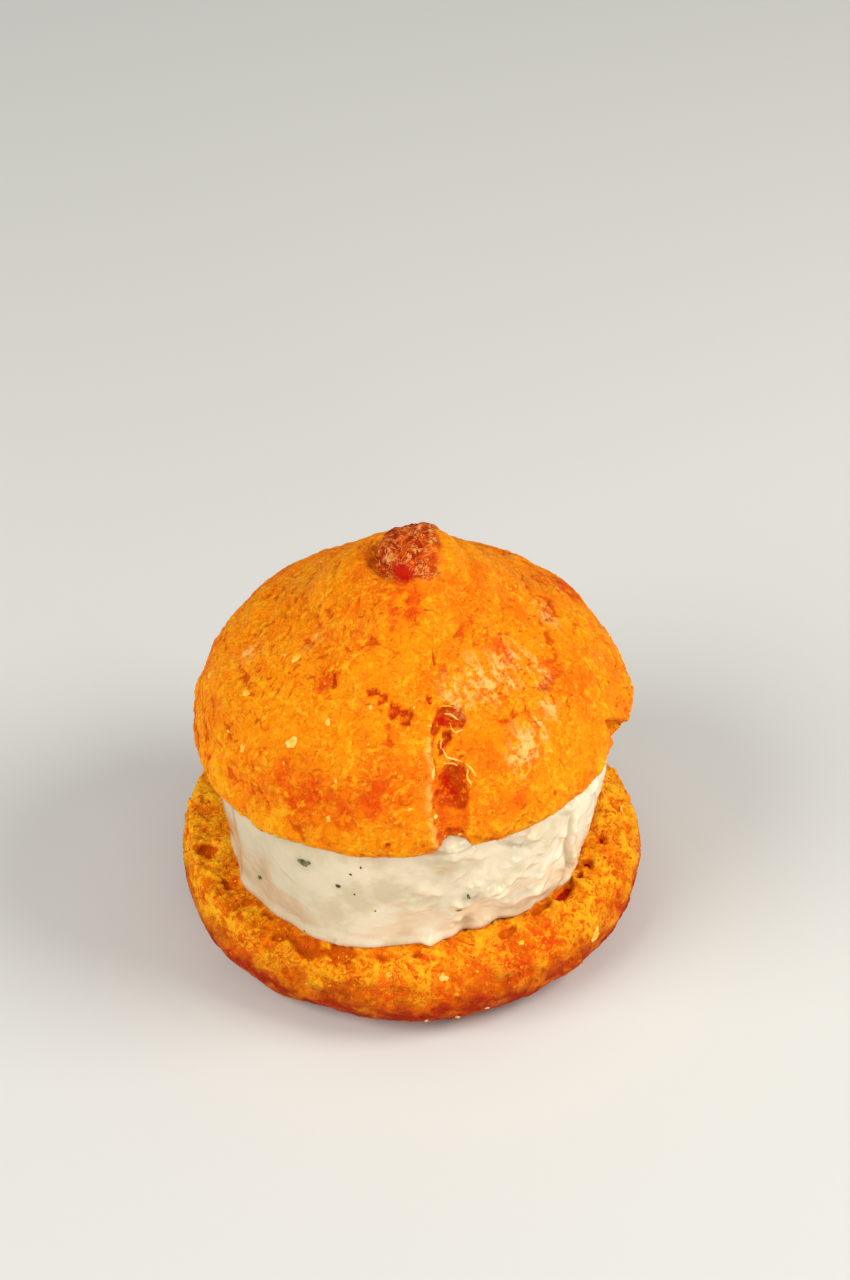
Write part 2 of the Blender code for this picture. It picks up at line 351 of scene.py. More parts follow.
CRUST_GOLD = srgb(251, 141, 0)
CRUST_AMBER = srgb(240, 112, 0)
CRUST_STRAW = srgb(254, 178, 26)
CRUST_DEEP = srgb(212, 80, 0)
CRUST_RUST = srgb(226, 78, 0)
CRUST_DARK = srgb(180, 58, 0)
BAKED_AND_SHADED_RED = srgb(166, 38, 0)
CRUMB_GOLD = srgb(242, 124, 0)
CRUMB_ORANGE = srgb(220, 88, 0)
POCKET_AMBER = srgb(216, 98, 3)
POCKET_SHADE_RED = srgb(168, 26, 1)
CRUMB_PALE = srgb(255, 180, 26)
PALE_FLAKE = srgb(255, 204, 116)


def crust_colour(tree):
    """Baked choux crust: cloudy gold and amber, with straw grains, deep specks and winding dark cracks,
    with a painted highlight on its raised grain and painted shade in its hollows.
    """
    colour = tinted(tree, CRUST_GOLD, CRUST_AMBER, ease(tree, mottle(tree, 0.008), 0.44, 0.66))
    colour = tinted(tree, colour, CRUST_AMBER, ease(tree, mottle(tree, 0.0021, 4), 0.5, 0.66, 0, 0.7))
    dry = ease(tree, mottle(tree, 0.0034), 0.42, 0.6)
    grains = times(tree, dry, ease(tree, mottle(tree, 0.00055, 3), 0.5, 0.62))
    colour = tinted(tree, colour, CRUST_STRAW, times(tree, grains, 0.75))
    crinkles = times(tree, lines(tree, 0.0009, 0.07), ease(tree, mottle(tree, 0.0028), 0.44, 0.58))
    colour = tinted(tree, colour, CRUST_STRAW, times(tree, crinkles, 0.45))
    specks = ease(tree, mottle(tree, 0.0007, 4, 0.5), 0.58, 0.70, 0, 0.5)
    colour = tinted(tree, colour, CRUST_DEEP, specks)
    dried = ease(tree, mottle(tree, 0.0046), 0.48, 0.6)
    cracked = times(tree, dried, ease(tree, mottle(tree, 0.0013), 0.46, 0.54))
    cracks = times(tree, lines(tree, 0.0018, 0.016), cracked)
    colour = tinted(tree, colour, CRUST_DARK, times(tree, cracks, 0.5))
    rusted = times(tree, mark(tree, "rust"), ease(tree, mottle(tree, 0.0016, 4), 0.36, 0.58))
    colour = tinted(tree, colour, CRUST_RUST, rusted)
    # Painted light: paler on raised grain, beads and lifted plate edges as a painted highlight, and deeper
    # in cracks, creases, hollows and at the feet of plates as painted shade
    colour = tinted(tree, colour, CRUST_STRAW, ease(tree, mark(tree, "ridge"), 0.15, 0.8, 0, 0.7))
    return tinted(tree, colour, CRUST_DEEP, ease(tree, mark(tree, "ridge"), -0.15, -0.9, 0, 0.9))


def crust_surface(tree, surface, colour):
    """The crust's sheen: dry, with small patches of egg wash, over fine grain."""
    tree.links.new(colour, surface.inputs["Base Color"])
    tree.links.new(ease(tree, mottle(tree, 0.0022, 4), 0.4, 0.68, 0.75, 0.5), surface.inputs["Roughness"])
    surface.inputs["Specular IOR Level"].default_value = 0.06
    surface.inputs["Subsurface Weight"].default_value = 0.1
    surface.inputs["Subsurface Radius"].default_value = (0.0010, 0.0004, 0.0001)
    surface.inputs["Subsurface Scale"].default_value = 1
    coarse = bumped(tree, mottle(tree, 0.0008, 4, 0.5), 0.00013)
    crinkled = bumped(tree, lines(tree, 0.0009, 0.08), 0.00007, 1, coarse)
    fine = bumped(tree, mottle(tree, 0.00025, 3), 0.00008, 1, crinkled)
    tree.links.new(fine, surface.inputs["Normal"])


base_finish, base_tree, base_surface = new_finish("baked crust and crumb")
base_colour = crust_colour(base_tree)

# The torn crumb, which covers the crust's colours on the cut face
crumb_clouds = ease(base_tree, mottle(base_tree, 0.0019, 4), 0.42, 0.6)
crumb_colour = tinted(base_tree, CRUMB_GOLD, CRUMB_ORANGE, crumb_clouds)
# Painted shade in the crumb's hollows, and below it a painted highlight on its raised lumps
crumb_painted_shade = ease(base_tree, mark(base_tree, "ridge"), 0, -0.8)
crumb_colour = tinted(base_tree, crumb_colour, POCKET_AMBER, crumb_painted_shade)
crumb_gaps = ease(base_tree, mottle(base_tree, 0.0007, 3, 0.5), 0.55, 0.68, 0, 0.7)
crumb_colour = tinted(base_tree, crumb_colour, CRUST_DEEP, crumb_gaps)
crumb_painted_highlight = ease(base_tree, mark(base_tree, "ridge"), 0.2, 0.75, 0, 0.9)
crumb_colour = tinted(base_tree, crumb_colour, CRUST_STRAW, crumb_painted_highlight)
crumb_clumps = ease(base_tree, mottle(base_tree, 0.0026), 0.38, 0.56, 0.1, 1)
crumb_curls = times(base_tree, lines(base_tree, 0.0010, 0.11, 1.5), crumb_clumps)
crumb_colour = tinted(base_tree, crumb_colour, CRUMB_PALE, times(base_tree, crumb_curls, 0.85))
rust_clouds = ease(base_tree, mottle(base_tree, 0.0011, 4), 0.4, 0.6)
crumb_rust = times(base_tree, mark(base_tree, "rust"), rust_clouds)
crumb_colour = tinted(base_tree, crumb_colour, CRUST_RUST, crumb_rust)
base_colour = tinted(base_tree, base_colour, crumb_colour, mark(base_tree, "cut"))

# The foot darker and redder, partly its deeper bake and partly painted shade, and the pockets: amber
# inside, dark red in the deepest as painted shade
baked_and_shaded_clouds = ease(base_tree, mottle(base_tree, 0.0024, 4), 0.34, 0.56, 0.45, 1)
base_baked_and_shaded = times(base_tree, mark(base_tree, "baked"), baked_and_shaded_clouds)
base_colour = tinted(base_tree, base_colour, BAKED_AND_SHADED_RED, base_baked_and_shaded)
pocket_shallow = ease(base_tree, mark(base_tree, "pocket"), 0.05, 0.4)
base_colour = tinted(base_tree, base_colour, POCKET_AMBER, pocket_shallow)
# Painted shade: the deepest pockets darkened to red
pocket_deep_shade = ease(base_tree, mark(base_tree, "pocket"), 0.75, 0.95)
base_colour = tinted(base_tree, base_colour, POCKET_SHADE_RED, pocket_deep_shade)
crust_surface(base_tree, base_surface, base_colour)

base = fine_copy("base", "choux_base", BASE_FACE_SIZE)
carve(base, base_relief, ("ridge", "pocket", "rust", "cut", "baked"))
base.data.materials.append(base_finish)
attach(base, "root")
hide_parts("base")


# The cream
# A thick slab of whipped soft cheese with herbs, spread into the base and pressed flat by the lid, so it
# bulges a little, with spoon folds, small lumps that catch the light and a few air bubbles.

CREAM_FACE_SIZE = 0.00025
CREAM_RADIUS = 0.021
CREAM_REACH = 0.00027
CREAM_FOLDS = (0.00050, 0.0058), (0.00020, 0.0028)
CREAM_CURDS = (0.00012, 0.0015)
CURD_HEIGHT = 0.00028
CURD_RADIUS = 0.0006
LUMP_HEIGHT = 0.00060
LUMP_RADIUS = 0.0014
CREAM_BUBBLE = 0.00018
CREAM_SWING = 0.0003
CREAM_FOOT_LEVEL = 0.0105
CREAM_FOOT_FLARE = 0.0005
SHADED_LEFT_FADE = -0.017, -0.002
FOLD_ANGLE = -38
FOLD_LEVEL = 0.0178
FOLD_FOOT = 0.0105, 0.0135
FOLD_TOP = 0.0205, 0.0240
FOLD_ROLL = 0.00035
FOLD_DEPTH = 0.00045
NOTCH_ANGLE = -73
NOTCH_DEPTH = 0.0004
NOTCH_TOP = 0.0115, 0.0135

# The strokes that the spoon left: (first angle, first height, last angle, last height, half width, height)
STROKES = [
    (-66, 0.0158, -54, 0.0194, 0.0005, 0.00045),
    (-72, 0.0152, -64, 0.0184, 0.0004, 0.00035),
    (-60, 0.0128, -46, 0.0142, 0.0005, 0.00040),
    (-52, 0.0164, -45, 0.0190, 0.0004, 0.00035),
    (-64, 0.0236, -55, 0.0218, 0.0004, -0.00040),
    (-61, 0.0243, -52, 0.0227, 0.0005, 0.00035),
    (-80, 0.0196, -74, 0.0214, 0.0004, 0.00025),
    (-92, 0.0152, -84, 0.0166, 0.0006, 0.00030),
]

# Where the herbs tint the cream round them, each (angle, height, size)
HERB_STAINS = [(-121.6, 0.0204, 0.0017), (-141.3, 0.0131, 0.0015), (-73.1, 0.0169, 0.0013)]


def stroked(point, angle):
    """How high the spoon's strokes stand here."""
    height = 0
    for first_angle, first_height, last_angle, last_height, half_width, rise in STROKES:
        along_x = arc(CREAM_RADIUS, last_angle, first_angle)
        along_z = last_height - first_height
        here_x = arc(CREAM_RADIUS, angle, first_angle)
        here_z = point.z - first_height
        t = min(1, max(0, (here_x * along_x + here_z * along_z) / (along_x**2 + along_z**2)))
        away = math.hypot(here_x - t * along_x, here_z - t * along_z)
        height += rise * math.sin(math.pi * between(0.12, 0.88, t)) * math.exp(-((away / half_width) ** 2))
    return height


def humps(place, size, radius):
    """Smooth round humps of height 1 round scattered centres, level between them."""
    away, wall = cells(place, size)
    return max(0, 1 - (away / radius) ** 2) ** 2 * share(wall, 0, 0.6 * radius)


def fold_relief(point, angle, radius, curl):
    """The long fold on the right, as (height, how near it runs)."""
    across = arc(radius, angle, FOLD_ANGLE) + 1.5 * curl
    across += 0.15 * (point.z - 0.017) - 45 * (point.z - FOLD_LEVEL) ** 2
    deep = share(point.z, *FOLD_FOOT) * (1 - share(point.z, *FOLD_TOP))
    groove = math.exp(-((across / 0.00036) ** 2))
    roll = math.exp(-(((across - 0.0010) / 0.0007) ** 2))
    return deep * (FOLD_ROLL * roll - FOLD_DEPTH * groove), deep * math.exp(-((across / 0.0013) ** 2))


def cream_relief(point, normal):
    """The cream's height here, and its marks: ridge, stain, and how far left it lies, for painted shade."""
    angle, radius = turned_place(point)
    if abs(normal.z) > 0.8:
        return CREAM_REACH, 0, 0, 0
    right = 1 - share(abs(arc(1, angle, -58)), 0.35, 0.75)
    # How far towards the left: there the cream is less lumpy and less folded, and its finish paints shade
    # on it
    shaded_left = 1 - share(point.x, *SHADED_LEFT_FADE)
    patchy = share(noise.noise(point / 0.008), 0, 0.4)
    around = arc(CREAM_RADIUS, angle, -90)
    lumpy = between(0.15, 1, max(right, 0.6 * patchy)) * (1 - 0.85 * shaded_left)
    lumpy *= share(math.pi * CREAM_RADIUS - abs(around), 0, 0.008)
    folds = between(0.5, 1, right) * between(1, 0.5, shaded_left) * layered(point, *CREAM_FOLDS)
    frayed = bent(point, 0.0005, 0.0015)
    slanted = Vector((0.7 * around, 0, point.z + 0.3 * around)) + 0.4 * (frayed - point)
    curd = CURD_HEIGHT * humps(slanted, 0.0014, CURD_RADIUS)
    lump = LUMP_HEIGHT * humps(slanted + Vector((0, 0.02, 0)), 0.0032, LUMP_RADIUS)
    curds = lumpy * (layered(frayed, CREAM_CURDS) + curd + lump)
    curl = 0.0007 * noise.noise(point / 0.0032)
    fold, near_fold = fold_relief(point, angle, radius, curl)
    curds *= 1 - 0.85 * near_fold
    notch = math.exp(-((arc(radius, angle, NOTCH_ANGLE) / 0.0009) ** 2))
    notch *= NOTCH_DEPTH * (1 - share(point.z, *NOTCH_TOP))
    bubble = CREAM_BUBBLE * (1 - share(cells(point, 0.0033)[0], 0.00008, 0.0003))
    low = CREAM_FOOT_LEVEL - layered(point, (0.0009, 0.0023))
    foot = CREAM_FOOT_FLARE * (1 - share(point.z, low - 0.0004, low + 0.0010))
    detail = curds + stroked(frayed, angle) + fold + foot - bubble - notch
    ridge = max(-1, min(1, detail / CREAM_SWING))
    return folds + detail, ridge, spot(point, angle, radius, HERB_STAINS), shaded_left


CREAM_WHITE = srgb(234, 220, 190)
CREAM_SHADE = srgb(212, 196, 160)
# The grey of the painted shade on the cream's left, under the lid's overhang
CREAM_PAINTED_SHADE = srgb(194, 180, 150)
CREAM_HERBED = srgb(184, 180, 144)

cream_finish, cream_tree, cream_surface = new_finish("herbed cream")
cream_clouds = ease(cream_tree, mottle(cream_tree, 0.005), 0.42, 0.66)
cream_colour = tinted(cream_tree, CREAM_WHITE, CREAM_SHADE, cream_clouds)
# Painted shade: the cream darker in its grooves, dents and bubbles, where its relief dips
cream_painted_hollow_shade = ease(cream_tree, mark(cream_tree, "ridge"), 0, -1, 0, 0.7)
cream_colour = tinted(cream_tree, cream_colour, CREAM_SHADE, cream_painted_hollow_shade)
# Painted shade: the cream greyer and darker towards the left, as in the shade under the lid's overhang
cream_painted_shade = times(cream_tree, mark(cream_tree, "shaded_left"), 0.75)
cream_colour = tinted(cream_tree, cream_colour, CREAM_PAINTED_SHADE, cream_painted_shade)
cream_stains = times(cream_tree, mark(cream_tree, "stain"), 0.5)
cream_colour = tinted(cream_tree, cream_colour, CREAM_HERBED, cream_stains)
cream_tree.links.new(cream_colour, cream_surface.inputs["Base Color"])
cream_gloss = ease(cream_tree, mottle(cream_tree, 0.0024, 3), 0.35, 0.65, 0.22, 0.12)
cream_tree.links.new(cream_gloss, cream_surface.inputs["Roughness"])
cream_surface.inputs["Specular IOR Level"].default_value = 0.45
cream_surface.inputs["Coat Weight"].default_value = 0.3
cream_surface.inputs["Coat Roughness"].default_value = 0.08
cream_surface.inputs["Subsurface Weight"].default_value = 0.8
cream_surface.inputs["Subsurface Radius"].default_value = (0.0014, 0.0013, 0.0011)
cream_surface.inputs["Subsurface Scale"].default_value = 1
cream_grain = bumped(cream_tree, mottle(cream_tree, 0.0012, 1, 0.5), 0.00009)
cream_tree.links.new(cream_grain, cream_surface.inputs["Normal"])

cream = fine_copy("cream", "herbed_cream", CREAM_FACE_SIZE)
carve(cream, cream_relief, ("ridge", "stain", "shaded_left"))
cream.data.materials.append(cream_finish)
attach(cream, "root")
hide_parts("cream")


# The squeezed-out cream
# A small lump of the same cream that was pressed out through the notch in the lid's rim, under the split.

SQUEEZED_ANGLE = math.radians(-78.5)
SQUEEZED_FROM_AXIS = 0.0213
SQUEEZED_LEVEL = 0.0265
SQUEEZED_HALF = Vector((0.0017, 0.0022, 0.0013))
SQUEEZED_LUMPS = (0.0005, 0.0016), (0.00012, 0.0007)


def finished(shape, name, finish):
    """A bmesh made into a piece that rides on the puff."""
    mesh = bpy.data.meshes.new(name)
    bmesh.ops.recalc_face_normals(shape, faces=shape.faces)
    shape.to_mesh(mesh)
    shape.free()
    mesh.materials.append(finish)
    piece = bpy.data.objects.new(name, mesh)
    bpy.context.scene.collection.objects.link(piece)
    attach(piece, "root")
    return piece


lump_shape = bmesh.new()
bmesh.ops.create_icosphere(lump_shape, subdivisions=5, radius=1)
bmesh.ops.scale(lump_shape, vec=SQUEEZED_HALF, verts=lump_shape.verts)
for vert in lump_shape.verts:
    vert.co += vert.co.normalized() * layered(vert.co, *SQUEEZED_LUMPS)
lump_turn = Matrix.Rotation(SQUEEZED_ANGLE, 4, "Z")
lump_shift = Matrix.Translation((SQUEEZED_FROM_AXIS, 0, SQUEEZED_LEVEL))
bmesh.ops.transform(lump_shape, matrix=lump_turn @ lump_shift, verts=lump_shape.verts)
squeezed = finished(lump_shape, "squeezed_cream", cream_finish)
squeezed.data.shade_smooth()


# The lid
# The upper half of the bun, piped as a swirl with a pulled nib that has baked dark and crumbly. Its crust
# has split from under the nib to the rim, and beside the split it has torn down to the reddish layer below.

LID_FACE_SIZE = 0.00026
NIB_FOOT_LEVEL = 0.0462
NIB_RADIUS = 0.0036
NIB_EDGE = 0.0043
NIB_TIP_CUT = 0.0003
NIB_SHOULDER = 0.0013
NIB_BROW = 0.0004
NIB_CRUMBLE = (0.00022, 0.0015), (0.00012, 0.0007)
RIM_LEVEL = 0.0262
RIM_GRAINS = (0.00022, 0.0024), (0.00010, 0.0008)
SWIRL_PITCH = 0.0046
SWIRL_SWELL = 0.00016
SWIRL_RINGS = 0.00006, 0.00015
SWIRL_RAYS = 0.00005
LID_SWING = 0.0002
SPLIT_LIP = 0.00008
SPLIT_DEPTH = 0.00024
BITE_FIRST_ANGLE = -21
BITE_LAST_ANGLE = 6
BITE_LEVEL = 0.0242
BITE_SLOPE = 0.00033
BITE_LIP = 0.0003
BITE_DEPTHS = 0.0024, -0.0003

# The line of the split, each (height, x)
SPLIT_PATH = [
    (0.0240, 0.0030),
    (0.0275, 0.0029),
    (0.0300, 0.0026),
    (0.0324, 0.0023),
    (0.0351, 0.0024),
    (0.0372, 0.0026),
    (0.0382, 0.0031),
    (0.0396, 0.0028),
    (0.0420, 0.0020),
    (0.0460, 0.0022),
]

# The places beside the split where the crust is torn away: (x, height, half width, half height, depth)
TORN_PLACES = [
    (0.0040, 0.0372, 0.0016, 0.0008, 0.00045),
    (0.0036, 0.0356, 0.0005, 0.0004, 0.00035),
    (0.0042, 0.0321, 0.0016, 0.0020, 0.00026),
    (0.0043, 0.0290, 0.0015, 0.0024, 0.00022),
    (-0.0039, 0.0391, 0.0006, 0.0003, 0.0003),
    (-0.0028, 0.0386, 0.0005, 0.0004, 0.0003),
    (-0.0016, 0.0379, 0.0006, 0.0004, 0.0004),
    (-0.0004, 0.0376, 0.0006, 0.0003, 0.0004),
    (0.0020, 0.0387, 0.0003, 0.0003, 0.0003),
    (-0.0078, 0.0387, 0.0003, 0.0006, 0.0003),
]

# Shallow creases between the turns of the piped swirl: (height, first angle, last angle, depth)
SWIRL_CREASES = [
    (0.0366, -62, -14, 0.00038),
    (0.0380, -16, 20, 0.00038),
    (0.0382, -128, -92, 0.00026),
    (0.0324, -64, -30, 0.00014),
    (0.0412, -60, 10, 0.00018),
    (0.0418, -170, -110, 0.00020),
    (0.0350, -178, -132, 0.00018),
    (0.0375, 20, 120, 0.00022),
    (0.0330, 90, 175, 0.00020),
]

# Spots on the lid, each (angle, height, size): holes down to the red layer, painted dark for their shade,
# redder patches, egg wash with a painted highlight, dark specks, and the glossy bead at the nib's foot
RED_HOLES = [
    (-78.6, 0.0323, 0.0007),
    (-77.4, 0.0314, 0.0007),
    (-82.2, 0.0320, 0.0005),
    (-77.0, 0.0368, 0.0006),
]
LID_RUST = [
    (-121, 0.0300, 0.0034),
    (-116, 0.0310, 0.0030),
    (-128, 0.0313, 0.0022),
    (-108, 0.0296, 0.0026),
    (-100, 0.0318, 0.0034),
    (-129, 0.0384, 0.0020),
    (-97, 0.0442, 0.0026),
    (-25, 0.0371, 0.0014),
    (-38, 0.0400, 0.0016),
    (-60, 0.0300, 0.0012),
    (-140, 0.0405, 0.0016),
    (95, 0.0330, 0.0040),
    (160, 0.0300, 0.0035),
    (30, 0.0350, 0.0040),
]
# Patches of painted highlight, where the egg wash on the right of the lid catches the light
LID_GLINTS = [
    (-69.7, 0.0386, 0.0022),
    (-56.5, 0.0391, 0.0022),
    (-34.0, 0.0384, 0.0026),
    (-46.0, 0.0390, 0.0020),
    (-29.5, 0.0375, 0.0014),
    (0.0, 0.0381, 0.0012),
    (4.0, 0.0386, 0.0012),
    (-38.0, 0.0358, 0.0016),
    (-52.0, 0.0343, 0.0026),
    (-56.6, 0.0335, 0.0020),
    (-46.0, 0.0350, 0.0016),
    (-170.0, 0.0360, 0.0016),
    (-150.0, 0.0402, 0.0016),
]
DARK_SPECKS = [(-153.0, 0.0320, 0.0004), (-95.8, 0.0272, 0.0005), (-49.0, 0.0292, 0.0004)]
GLOSSY_BEAD = [(-101, 0.0472, 0.0016)]


def split_place(height):
    """The x of the split at a height on the front of the lid."""
    for (low, low_x), (high, high_x) in zip(SPLIT_PATH, SPLIT_PATH[1:]):
        if height < high:
            return between(low_x, high_x, share(height, low, high))
    return SPLIT_PATH[-1][1]


def split_relief(point, radius):
    """The split and the torn places beside it, as (height, how torn, how pale) here."""
    if point.y > 0:
        return 0, 0, 0
    frayed = bent(bent(point, 0.0004, 0.0024), 0.00035, 0.0010)
    across = frayed.x - split_place(point.z)
    low = 1 - share(point.z, 0.0355, 0.0385)
    broken = share(noise.noise(point / 0.0013), between(0, -0.5, low), between(0.3, 0, low))
    opened = share(radius, 0.0040, 0.0060) * broken
    groove = opened * (1 - share(abs(across), 0.00005, 0.00028))
    lip = low * opened * math.exp(-(((across + 0.00045) / 0.00030) ** 2))
    height = SPLIT_LIP * lip - SPLIT_DEPTH * groove
    torn = 0.6 * groove
    stripes = noise.noise(Vector((frayed.x / 0.0030, 0, frayed.z / 0.0005)))
    for x, level, half_width, half_height, depth in TORN_PLACES:
        across = (frayed.x - x) / half_width
        along = (frayed.z - level) / half_height
        found = (1 - share((across**4 + along**4) ** 0.25, 0.8, 1.1)) * depth
        height -= found * (1 + 0.35 * stripes)
        torn = max(torn, found * (1 + 0.7 * stripes) / 0.0003)
    return height, min(1, torn), 0.4 * lip


def creased(point, angle, frayed):
    """How deep the creases of the swirl are here."""
    depth = 0
    for height, first, last, deepest in SWIRL_CREASES:
        line = math.exp(-(((point.z - height + 1.4 * frayed) / 0.00036) ** 2))
        inside = share(angle, first - 4, first + 8) * (1 - share(angle, last - 8, last + 4))
        depth += deepest * line * inside
    return depth * share(noise.noise(point / 0.0021), -0.4, 0.2)


def nib_form(point, radius):
    """The nib rounded at its tip, and a shoulder where it runs out into the dome."""
    tip = share(point.z, 0.0476, 0.0492) * (1 - share(radius, 0.0024, 0.0038))
    shoulder = share(radius, 0.0029, 0.0042) * (1 - share(radius, 0.0060, 0.0130))
    shoulder *= 1 - share(point.z, 0.0462, 0.0485)
    brow = share(point.z, 0.0464, 0.0474) * (1 - share(point.z, 0.0478, 0.0490))
    brow *= share(radius, 0.0018, 0.0028)
    return NIB_SHOULDER * shoulder + NIB_BROW * brow - NIB_TIP_CUT * tip


def bite_relief(point, angle, frayed):
    """The chunk that broke off the rim on the right, under a ledge that rises towards the front."""
    inside = share(angle, BITE_FIRST_ANGLE - 2, BITE_FIRST_ANGLE + 3)
    inside *= 1 - share(angle, BITE_LAST_ANGLE - 4, BITE_LAST_ANGLE + 4)
    level = point.z + 0.6 * frayed - (BITE_LEVEL - BITE_SLOPE * angle)
    lip = share(level, -0.0001, 0.0002) * (1 - share(level, 0.0004, 0.0020))
    depth = between(*BITE_DEPTHS, share(-level, 0.0002, 0.0035))
    return inside * (BITE_LIP * lip - depth * (1 - share(level, -0.0002, 0.0001)))


def nib_here(point, angle, radius, frayed):
    """How much a point lies on the nib, whose foot is ragged and lower on the left."""
    foot = NIB_FOOT_LEVEL + 0.0008 * math.cos(math.radians(angle))
    nib = share(point.z + 2 * frayed, foot - 0.0003, foot + 0.0005)
    nib *= 1 - share(radius + frayed, NIB_RADIUS, NIB_EDGE)
    return nib * (1 - share(point.x + 1.5 * frayed, 0.0023, 0.0034))


def swirl_relief(point, angle, radius):
    """The piped swirl, as the height of its broad turns, the height of its fine rings, and where strokes of
    egg wash lie along them, on which the lid's highlight is painted."""
    turn = math.radians(angle)
    east = math.cos(turn)
    north = math.sin(turn)
    spiral = 0.7 * (radius - point.z) + 0.0009 * east + layered(point, (0.0005, 0.0070))
    rings = noise.noise(Vector((spiral / 0.0009, 1.6 * east, 1.6 * north)))
    rays = noise.noise(Vector((24 * east, 24 * north, point.z / 0.0040)))
    strokes = noise.noise(Vector((50 * east, 50 * north, spiral / 0.0016)))
    piped = max(1 - share(abs(arc(1, angle, 175)), 0.6, 1.5), share(point.y, 0.002, 0.012))
    turns = math.sin(math.tau * spiral / SWIRL_PITCH + turn) * share(noise.noise(point / 0.009), -0.3, 0.3)
    swell = SWIRL_SWELL * piped * share(radius, 0.0060, 0.0100) * turns
    fine = between(*SWIRL_RINGS, piped) * rings + SWIRL_RAYS * rays
    return swell, fine, share(strokes + 0.5 * rays, -0.2, 0.15)


def lid_relief(point, normal):
    """The lid's height here, and its marks: ridge, torn, rust, pale, nib, painted glint and red."""
    angle, radius = turned_place(point)
    if normal.z < -0.6:
        crumb = crumb_relief(point)
        return 0.4 * crumb, max(-1, min(1, crumb / 0.0003)), 0.25, 0, 0, 0, 0, 0
    frayed = layered(point, (0.0005, 0.0013))
    nib = nib_here(point, angle, radius, frayed)
    split, torn, pale = split_relief(point, radius)
    granular = 1 - share(point.z, RIM_LEVEL + 0.0010, RIM_LEVEL + 0.0060)
    grains = layered(point, *RIM_GRAINS) + 0.00007 * winding(point, 0.0009, 0.2)
    grains *= granular
    swell, swirl, streaked = swirl_relief(point, angle, radius)
    crust, ridge = crust_relief(point)
    crease = creased(point, angle, frayed)
    crust += grains + swell + swirl - crease + split
    ridge += (grains + swirl + split - 0.5 * crease) / LID_SWING
    crumble = layered(point, *NIB_CRUMBLE) + 0.00012 * winding(bent(point, 0.0003, 0.0008), 0.0011, 0.16)
    ridge = between(ridge, crumble / LID_SWING, nib)
    bead = spot(point, angle, radius, GLOSSY_BEAD)
    height = between(between(crust, crumble, nib), 0.0002, bead)
    specks = spot(point, angle, radius, DARK_SPECKS)
    # Small holes down to the red layer, painted dark for the shade inside them
    red = spot(bent(point, 0.0004, 0.001), angle, radius, RED_HOLES)
    height += nib_form(point, radius) + bite_relief(point, angle, frayed) - 0.0002 * specks - 0.0001 * red
    rust = spot(point, angle, radius, LID_RUST)
    # A painted highlight where the egg wash catches the light, in streaks
    glint = spot(point, angle, radius, LID_GLINTS) * streaked
    return height, max(-1, min(1, ridge)), max(torn, specks), rust, pale, nib, glint, max(red, bead)


NIB_PALE = srgb(250, 176, 92)
NIB_BROWN = srgb(206, 80, 6)
NIB_DARK = srgb(164, 40, 2)
TORN_ORANGE = srgb(234, 108, 2)
TORN_RED = srgb(200, 66, 2)
HOLE_RED = srgb(198, 26, 0)
GLINT_PALE = srgb(255, 204, 116)

lid_finish, lid_tree, lid_surface = new_finish("baked crust")
lid_colour = crust_colour(lid_tree)

# The torn places beside the split and its pale lips, and the painted highlight on the streaks of egg wash
torn_colour = tinted(lid_tree, TORN_ORANGE, TORN_RED, ease(lid_tree, mark(lid_tree, "torn"), 0.4, 0.95))
torn_flecks = ease(lid_tree, mottle(lid_tree, 0.0006, 3, 0.5), 0.5, 0.66, 0, 0.6)
torn_colour = tinted(lid_tree, torn_colour, CRUST_GOLD, torn_flecks)
lid_colour = tinted(lid_tree, lid_colour, torn_colour, ease(lid_tree, mark(lid_tree, "torn"), 0.1, 0.5))
pale_noise = ease(lid_tree, mottle(lid_tree, 0.0007, 3), 0.38, 0.5, 0.5, 1)
lid_colour = tinted(lid_tree, lid_colour, PALE_FLAKE, times(lid_tree, mark(lid_tree, "pale"), pale_noise))
# Painted highlight: pale patches on the right of the lid, where the egg wash catches the light
glint_clouds = ease(lid_tree, mottle(lid_tree, 0.0011, 4, 1), 0.42, 0.54, 0, 0.75)
painted_glint = times(lid_tree, mark(lid_tree, "glint"), glint_clouds)
lid_colour = tinted(lid_tree, lid_colour, GLINT_PALE, painted_glint)

# The dark nib with its pale crumbs, partly painted highlight, and the red holes, painted dark for their
# shade
nib_lines = lines(lid_tree, 0.0013, 0.026, 1.2)
nib_colour = tinted(lid_tree, NIB_DARK, NIB_BROWN, ease(lid_tree, mottle(lid_tree, 0.0012), 0.4, 0.6))
# The nib's raised crumbs paler, partly their own dry pale and partly painted highlight
nib_crumb_highlight = ease(lid_tree, mark(lid_tree, "ridge"), 0.45, 1, 0, 0.75)
nib_colour = tinted(lid_tree, nib_colour, NIB_PALE, nib_crumb_highlight)
nib_colour = tinted(lid_tree, nib_colour, NIB_PALE, times(lid_tree, nib_lines, 0.85))
lid_colour = tinted(lid_tree, lid_colour, nib_colour, mark(lid_tree, "nib"))
# The red holes painted darker for the shade inside them, and the glossy red bead at the nib's foot
lid_colour = tinted(lid_tree, lid_colour, HOLE_RED, mark(lid_tree, "red"))
crust_surface(lid_tree, lid_surface, lid_colour)

lid = fine_copy("lid", "choux_lid", LID_FACE_SIZE)
carve(lid, lid_relief, ("ridge", "torn", "rust", "pale", "nib", "glint", "red"))
lid.data.materials.append(lid_finish)
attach(lid, "root")
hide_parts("lid")


# The torn strands
# Dried skins of dough that still bridge the split and edge the places where the crust tore.

